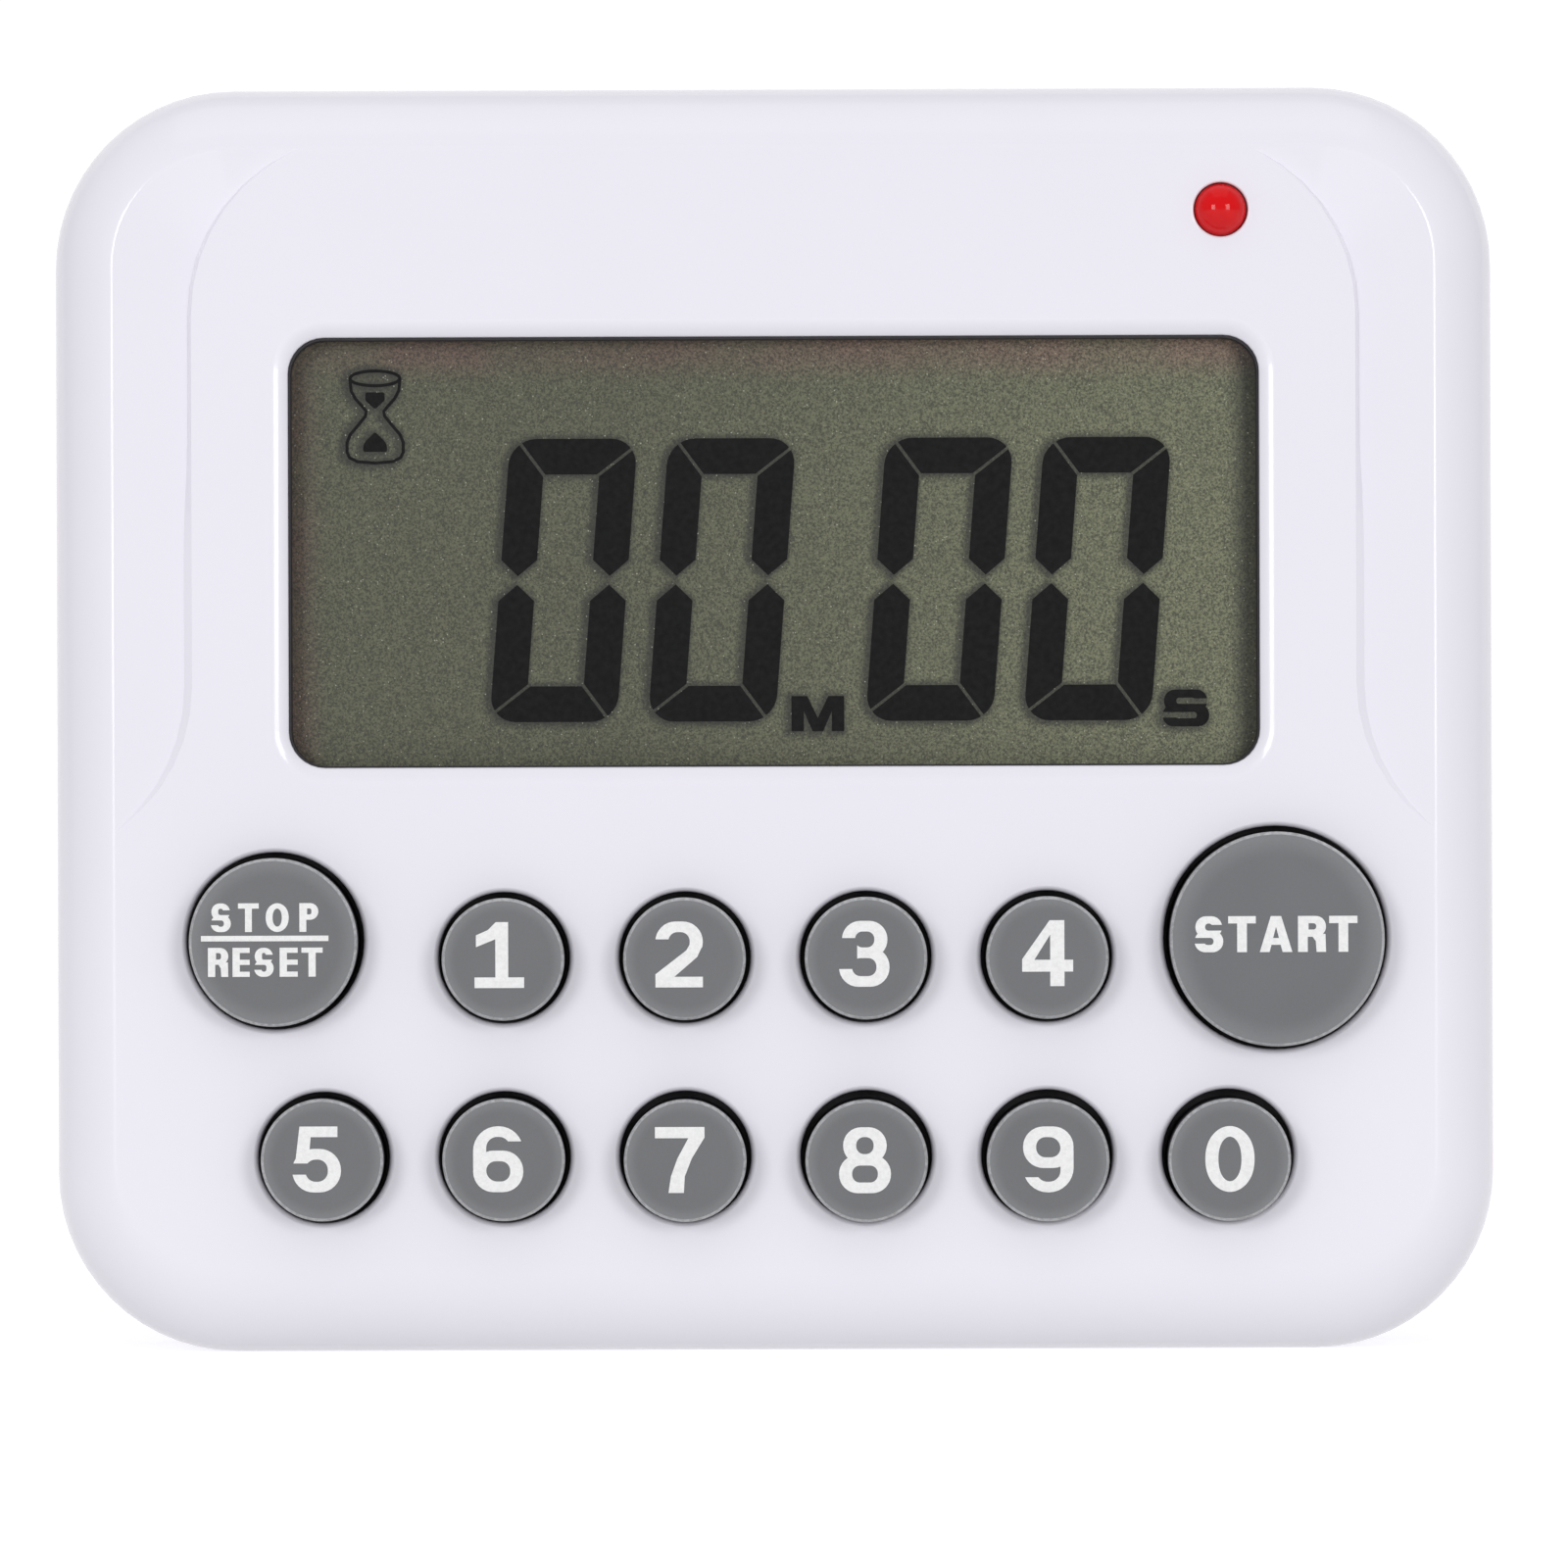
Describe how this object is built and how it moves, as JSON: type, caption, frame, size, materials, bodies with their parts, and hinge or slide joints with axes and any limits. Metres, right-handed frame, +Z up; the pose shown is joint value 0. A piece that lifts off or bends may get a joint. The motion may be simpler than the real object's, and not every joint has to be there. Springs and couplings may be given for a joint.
{
  "type": "lab timer",
  "caption": "Countdown timer in a rounded white case with a seven-segment display, an alarm lamp, a round-key numeric pad, a rear battery door and a fold-out stand.",
  "frame": {"origin": "middle of the base: centre of the bounding box in X and Y, on the surface that the bottom edge stands on", "axes": "+X to the right of someone reading the display, +Z up, the display and keys face -Y and the battery door faces +Y"},
  "size_m": [0.082, 0.024, 0.072],
  "materials": {
    "case_white_abs": "moulded ABS, satin to semi-gloss",
    "key_cap_grey_abs": "moulded ABS, fine satin texture, printed legend",
    "key_rubber_black": "moulded silicone, matt",
    "display_film": "anti-glare polarising film",
    "display_glass": "polished sheet glass",
    "display_reflector": "fine-grained reflective film",
    "holder_plastic": "moulded ABS, as moulded",
    "circuit_board": "glass-epoxy laminate with solder mask",
    "black_epoxy": "poured epoxy",
    "lamp_red_epoxy": "clear dyed epoxy, cast",
    "tinned_wire": "tinned",
    "zinc_plated_steel": "zinc plated",
    "nickel_plate": "nickel plated, stamped",
    "magnet_nickel": "nickel plated, ground",
    "buzzer_brass": "rolled brass",
    "buzzer_ceramic": "fired, silvered",
    "cell_jacket": "printed plastic sleeve on a steel can"
  },
  "bodies": {
    "case": {"battery_lower": "cell_jacket", "battery_upper": "cell_jacket", "board_screw_left": "zinc_plated_steel", "board_screw_right": "zinc_plated_steel", "buzzer_ceramic": "buzzer_ceramic", "buzzer_plate": "buzzer_brass", "case_screw_bottom_left": "zinc_plated_steel", "case_screw_bottom_right": "zinc_plated_steel", "case_screw_top_left": "zinc_plated_steel", "case_screw_top_right": "zinc_plated_steel", "chip_blob": "black_epoxy", "circuit_board": "circuit_board", "clock_crystal": "nickel_plate", "contact_bridge": "nickel_plate", "contact_negative": "nickel_plate", "contact_positive": "nickel_plate", "front_case": "case_white_abs", "keypad_mat": "key_rubber_black", "lamp_lead_left": "tinned_wire", "lamp_lead_right": "tinned_wire", "lamp_lens": "lamp_red_epoxy", "lcd_front_glass": "display_glass", "lcd_front_polariser": "display_film", "lcd_holder": "holder_plastic", "lcd_rear_glass": "display_glass", "lcd_reflector": "display_reflector", "magnet_left": "magnet_nickel", "magnet_right": "magnet_nickel", "rear_case": "case_white_abs", "spring_lower": "nickel_plate", "spring_upper": "nickel_plate", "stand_pin": "zinc_plated_steel", "zebra_strip_lower": "key_rubber_black", "zebra_strip_upper": "key_rubber_black"},
    "key_stop_reset": {"key_cap_stop_reset": "key_cap_grey_abs", "key_boss_stop_reset": "key_rubber_black"},
    "key_start": {"key_cap_start": "key_cap_grey_abs", "key_boss_start": "key_rubber_black"},
    "key_1": {"key_cap_1": "key_cap_grey_abs", "key_boss_1": "key_rubber_black"},
    "key_2": {"key_cap_2": "key_cap_grey_abs", "key_boss_2": "key_rubber_black"},
    "key_3": {"key_cap_3": "key_cap_grey_abs", "key_boss_3": "key_rubber_black"},
    "key_4": {"key_cap_4": "key_cap_grey_abs", "key_boss_4": "key_rubber_black"},
    "key_5": {"key_cap_5": "key_cap_grey_abs", "key_boss_5": "key_rubber_black"},
    "key_6": {"key_cap_6": "key_cap_grey_abs", "key_boss_6": "key_rubber_black"},
    "key_7": {"key_cap_7": "key_cap_grey_abs", "key_boss_7": "key_rubber_black"},
    "key_8": {"key_cap_8": "key_cap_grey_abs", "key_boss_8": "key_rubber_black"},
    "key_9": {"key_cap_9": "key_cap_grey_abs", "key_boss_9": "key_rubber_black"},
    "key_0": {"key_cap_0": "key_cap_grey_abs", "key_boss_0": "key_rubber_black"},
    "door": {"battery_door": "case_white_abs"},
    "easel": {"stand": "case_white_abs"}
  },
  "joints": [
    {"name": "press_stop_reset", "type": "slide", "parent": "case", "child": "key_stop_reset", "axis": [0, 1, 0], "range_m": [0, 0.001], "stiffness_N_per_m": 500},
    {"name": "press_start", "type": "slide", "parent": "case", "child": "key_start", "axis": [0, 1, 0], "range_m": [0, 0.001], "stiffness_N_per_m": 500},
    {"name": "press_1", "type": "slide", "parent": "case", "child": "key_1", "axis": [0, 1, 0], "range_m": [0, 0.001], "stiffness_N_per_m": 500},
    {"name": "press_2", "type": "slide", "parent": "case", "child": "key_2", "axis": [0, 1, 0], "range_m": [0, 0.001], "stiffness_N_per_m": 500},
    {"name": "press_3", "type": "slide", "parent": "case", "child": "key_3", "axis": [0, 1, 0], "range_m": [0, 0.001], "stiffness_N_per_m": 500},
    {"name": "press_4", "type": "slide", "parent": "case", "child": "key_4", "axis": [0, 1, 0], "range_m": [0, 0.001], "stiffness_N_per_m": 500},
    {"name": "press_5", "type": "slide", "parent": "case", "child": "key_5", "axis": [0, 1, 0], "range_m": [0, 0.001], "stiffness_N_per_m": 500},
    {"name": "press_6", "type": "slide", "parent": "case", "child": "key_6", "axis": [0, 1, 0], "range_m": [0, 0.001], "stiffness_N_per_m": 500},
    {"name": "press_7", "type": "slide", "parent": "case", "child": "key_7", "axis": [0, 1, 0], "range_m": [0, 0.001], "stiffness_N_per_m": 500},
    {"name": "press_8", "type": "slide", "parent": "case", "child": "key_8", "axis": [0, 1, 0], "range_m": [0, 0.001], "stiffness_N_per_m": 500},
    {"name": "press_9", "type": "slide", "parent": "case", "child": "key_9", "axis": [0, 1, 0], "range_m": [0, 0.001], "stiffness_N_per_m": 500},
    {"name": "press_0", "type": "slide", "parent": "case", "child": "key_0", "axis": [0, 1, 0], "range_m": [0, 0.001], "stiffness_N_per_m": 500},
    {"name": "battery_door_hinge", "type": "hinge", "parent": "case", "child": "door", "pos_m": [0, 0.012, 0.0369], "axis": [-1, 0, 0], "range_deg": [0, 60]},
    {"name": "stand_hinge", "type": "hinge", "parent": "case", "child": "easel", "pos_m": [0, 0.0105, 0.0305], "axis": [1, 0, 0], "range_deg": [0, 40]}
  ]
}
